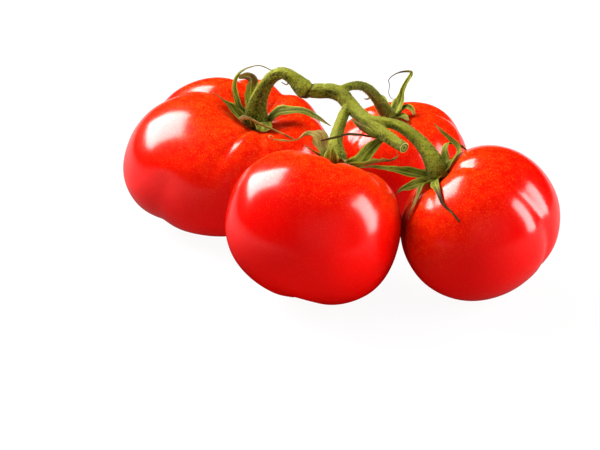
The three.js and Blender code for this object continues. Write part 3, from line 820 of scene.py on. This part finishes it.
band, brown = KNUCKLE["band"], KNUCKLE["scorch"]
pale = np.exp(-(((past - band["past"]) / band["width"]) ** 2)) * close
pale = pale * (from_knuckle[:, 2] > band["lowest"]) * band["strength"]
below = np.exp(-((np.linalg.norm(from_knuckle - brown["at"], axis=1) / brown["width"]) ** 2))
scorch = np.maximum(groove, below * brown["strength"])
stem_mesh = make_mesh("stem", stem_points + SHIFT, stem_faces, grain=grain, pale=pale, scorch=scorch)
add_piece("stem", stem_mesh, STEM, "stem", "main_stem", *(f"stalk_{place}" for place in STALKS))


def cut_end(row, before):
    """The cut across a stem at its last row: a raised rind, a sunk ring and a pithy middle."""
    middle, radius = np.array(row[:3]), row[3]
    direction = unit(middle - before[:3])
    wide = unit(np.cross(direction, (0, 0, 1)))
    thick = np.cross(direction, wide)
    angle = np.linspace(0, 2 * np.pi, CUT_SIDES, endpoint=False)[:, None]
    around = wide * np.cos(angle) + thick * np.sin(angle)
    shares, fronts = np.array(CUT_PROFILE).T
    rings = middle + around[None] * (shares * radius)[:, None, None] + direction * fronts[:, None, None]
    points, faces = closed_loft(rings, rings[0].mean(axis=0), rings[-1].mean(axis=0))
    ring = np.append(np.repeat(shares, CUT_SIDES), [shares[0], 0])
    ring[:CUT_SIDES * CUT_EDGE_RINGS] = CUT_EDGE
    return points, faces, ring


points, faces, ring = cut_end(MAIN_STEM[-1], MAIN_STEM[-2])
add_piece("cut_end", make_mesh("cut_end", points + SHIFT, faces, ring=ring), CUT, "stem")


def stem_down(points, normals):
    """Fine pale hairs that stand on the stem, as slender three-sided spikes."""
    chance = np.random.default_rng(11)
    picks = chance.choice(len(points), HAIRS, replace=False)
    foot, out = points[picks], normals[picks]
    lean = unit(out + chance.normal(0, HAIR_SPREAD, foot.shape))
    wide = unit(np.cross(lean, chance.normal(0, 1, foot.shape)))
    thick = np.cross(lean, wide)
    length = chance.uniform(*HAIR_LENGTHS, HAIRS)[:, None]
    corners = [foot - lean * HAIR_ROOT + HAIR * (wide * math.cos(angle) + thick * math.sin(angle))
               for angle in HAIR_CORNERS]
    dots = np.stack([*corners, foot + lean * length], axis=1).reshape(-1, 3)
    sides = [(base + i, base + j, base + k) for base in range(0, 4 * HAIRS, 4)
             for i, j, k in ((0, 2, 1), (0, 1, 3), (1, 2, 3), (2, 0, 3))]
    return dots, sides


points, faces = stem_down(stem_points, out)
add_piece("stem_down", make_mesh("stem_down", points + SHIFT, faces), DOWN, "stem")


# Sepals
def kept_clear(points, room):
    """The points, moved out of any skin that they come nearer to than their room."""
    clear = points.copy()
    for i, point in enumerate(clear):
        for surface in SURFACES:
            foot, normal, _, _ = surface.find_nearest(point)
            if np.dot(clear[i] - np.array(foot), normal) < room[i]:
                clear[i] = np.array(foot) + np.array(normal) * room[i]
    return clear


def blade(shape, line_points, across, seed):
    """Points, faces and values of a sepal along its line, in the part's frame."""
    line = along_curve(line_points, SEPAL_STEP)
    share = np.linspace(0, 1, len(line))

    def spread(values):
        return np.interp(share, np.linspace(0, 1, len(values)), values)

    half = spread(shape["widths"])
    thick = MIDRIB + (TIP - MIDRIB) * share
    line = kept_clear(line, thick + LINE_ROOM + WIDTH_ROOM * half)
    wide, up = carried_frames(line, across)
    roll = np.radians(spread(shape["roll"]))[:, None]
    wide, up = wide * np.cos(roll) + up * np.sin(roll), up * np.cos(roll) - wide * np.sin(roll)
    # One ring goes over the top of the blade and back below it: where it is from edge to edge, and its face.
    over = np.linspace(-1, 1, 2 * SEPAL_SIDE + 1)
    aside = np.concatenate([over, over[-2:0:-1]])
    face = np.concatenate([np.ones(len(over)), -np.ones(len(over) - 2)])
    face[0] = face[len(over) - 1] = 0
    body = np.sqrt(np.clip(1 - aside**2, 0, 1)) * (1 - EDGE_SHARE) + EDGE_SHARE
    run = share * len(line) * SEPAL_STEP
    wobble = np.array([[noise.noise(Vector((at / RIPPLE_LENGTH, side, seed)))
                        for side in (-EDGES_APART, EDGES_APART)] for at in run])
    edge = np.where(aside[None] < 0, wobble[:, :1], wobble[:, 1:]) * aside[None] ** 2
    channel = shape["cup"] * np.abs(aside[None]) ** CUP_POWER
    lift = (channel + RIPPLE_HEIGHT * shape["ripple"] * edge) * half[:, None]
    lift = lift + face[None] * body[None] * thick[:, None]
    rings = (line[:, None] + wide[:, None] * (aside[None] * half[:, None])[..., None]
             + up[:, None] * lift[..., None])
    points, faces = closed_loft(rings, line[0], line[-1])
    points = kept_clear(points, np.full(len(points), SKIN_ROOM))

    dry = smoothstep(share, *shape["dry"])
    per_ring = len(aside)
    grain = np.stack([np.repeat(run, per_ring) * LENGTHWAYS, (aside[None] * half[:, None]).ravel(),
                      np.tile(face, len(line)) * FACES_APART + seed], axis=1)
    values = {
        "grain": np.vstack([grain, [0, 0, seed], [run[-1] * LENGTHWAYS, 0, seed]]),
        "across": np.append(np.tile(np.abs(aside), len(line)), [0, 0]),
        "dry": np.append(np.repeat(dry, per_ring), [dry[0], dry[-1]]),
        "brown": np.full(len(points), shape["brown"]),
    }
    return points, faces, values


def add_sepal(name, node, *blade_facts):
    """A sepal's piece, which stands for that CAD node."""
    points, faces, values = blade(*blade_facts)
    add_piece(name, make_mesh(name, points, faces, **values), SEPAL, "sepal", node)


for place, fruit in FRUITS.items():
    to_frame = Matrix.Translation(SHIFT) @ seats[place]
    pole = skin_points(fruit, np.array(0.0), np.array(0.0))
    for number, shape in enumerate(SEPALS[place], 1):
        azimuth = math.radians(shape["azimuth"])
        outward = np.array([math.cos(azimuth), math.sin(azimuth), 0])
        sideways = np.array([-outward[1], outward[0], 0])
        root = (fruit["collar"] - ROOT_TUCK, 0, ROOT_RISE)
        dots = np.array([pole + outward * out + sideways * side + (0, 0, up)
                         for out, side, up in [root, *shape["path"]]])
        across = np.array(to_frame.to_3x3()) @ sideways
        add_sepal(f"leaf_{place}_{number}", f"sepal_{place}_{number}",
                  shape, moved(dots, to_frame), across, number * SEED_STEP + len(place))

add_sepal("bract_leaf", "bract", BRACT, np.array(BRACT["path"]) + SHIFT, (0, 0, 1), BRACT_SEED)


# Table, light and camera
TRUSS_MIDDLE = (cad_box[0] + cad_box[1]) / 2
TABLE_SIZE = 3.0  # half its side, in metres
TABLE_GLOW = 0.78
SHEEN_DROP = 0.0002  # how far the sheen lies under the table top
WHITE = (1, 1, 1, 1)
BLACK = (0, 0, 0, 1)


def table_material():
    """A pale, evenly lit table top."""
    return new_material(
        "pale_table", Base_Color=(0.06, 0.06, 0.06, 1), Roughness=0.9, Emission_Color=WHITE,
        Emission_Strength=TABLE_GLOW, Specular_IOR_Level=0)[0]


def sheen_material():
    """What the skin shows of the table: bright behind and beside the truss, fading out in front."""
    material, tree, shader = new_material(
        "table_sheen", Base_Color=BLACK, Roughness=1, Specular_IOR_Level=0, Emission_Strength=TABLE_GLOW)
    apart = wire(tree, "ShaderNodeSeparateXYZ", {0: places(tree)}).outputs
    side = wire(tree, "ShaderNodeMath", {0: apart["X"]}, operation="ABSOLUTE").outputs[0]
    beside = times(tree, scaled(tree, side, 0.03, 0.2), scaled(tree, apart["Y"], -0.4, -0.05))
    behind = scaled(tree, apart["Y"], 0.02, 0.2)
    mask = reckoned(tree, "MAXIMUM", beside, behind)
    tree.links.new(blended(tree, mask, BLACK, WHITE), shader.inputs["Emission Color"])
    return material


def table_sheet(name, material, low, high, height):
    """A level rectangle of table top between two corners."""
    mesh = bpy.data.meshes.new(name)
    corners = [(low[0], low[1]), (high[0], low[1]), (high[0], high[1]), (low[0], high[1])]
    mesh.from_pydata([(x, y, height) for x, y in corners], [], [(0, 1, 2, 3)])
    mesh.materials.append(material)
    sheet = add_object(name, mesh)
    return sheet


def softbox(name, toward, distance, size, power):
    """A soft area light that hangs in that direction from the middle of the truss and faces it."""
    light = bpy.data.lights.new(name, "AREA")
    light.shape = "RECTANGLE"
    light.size, light.size_y = size
    light.energy = power
    lamp = add_object(name, light)
    direction = Vector(toward).normalized()
    lamp.location = TRUSS_MIDDLE + direction * distance
    lamp.rotation_mode = "QUATERNION"
    lamp.rotation_quaternion = direction.to_track_quat("Z", "Y")
    return lamp


# The skin shows a soft-edged part of the table, and not the whole of the wide white top.
table = table_sheet("table", table_material(), (-TABLE_SIZE, -TABLE_SIZE), (TABLE_SIZE, TABLE_SIZE), 0)
table.visible_glossy = False
sheen = table_sheet("table_sheen", sheen_material(), (-0.8, -0.5), (0.8, 0.9), -SHEEN_DROP)
sheen.visible_camera = False
sheen.visible_diffuse = False
sheen.visible_shadow = False

LEFT_WINDOW = (-0.7, 0.374, 0.607)
softbox("window_left", LEFT_WINDOW, 0.85, (0.56, 0.66), 19)
softbox("fill_left", LEFT_WINDOW, 1.2, (1.2, 1.2), 4).visible_glossy = False
softbox("strip_right", (0.93, -0.16, 0.29), 0.8, (0.32, 0.62), 8)
softbox("soft_front", (0.2, -0.9, 0.25), 1.6, (1.6, 1.2), 10).visible_glossy = False

world = bpy.data.worlds.new("studio")
world.use_nodes = True
background = world.node_tree.nodes["Background"].inputs
background["Color"].default_value = WHITE
background["Strength"].default_value = 0.3
world.cycles_visibility.glossy = False
scene = bpy.context.scene
scene.world = world
scene.view_settings.view_transform = "Standard"
scene.view_settings.look = "Medium High Contrast"

lens = bpy.data.cameras.new("camera")
lens.lens = 105.4
lens.sensor_width = 36
camera = add_object("camera", lens)
camera.location = (-0.0133, -0.6648, 0.3369)
camera.rotation_euler = (math.radians(64), 0, 0)
scene.camera = camera
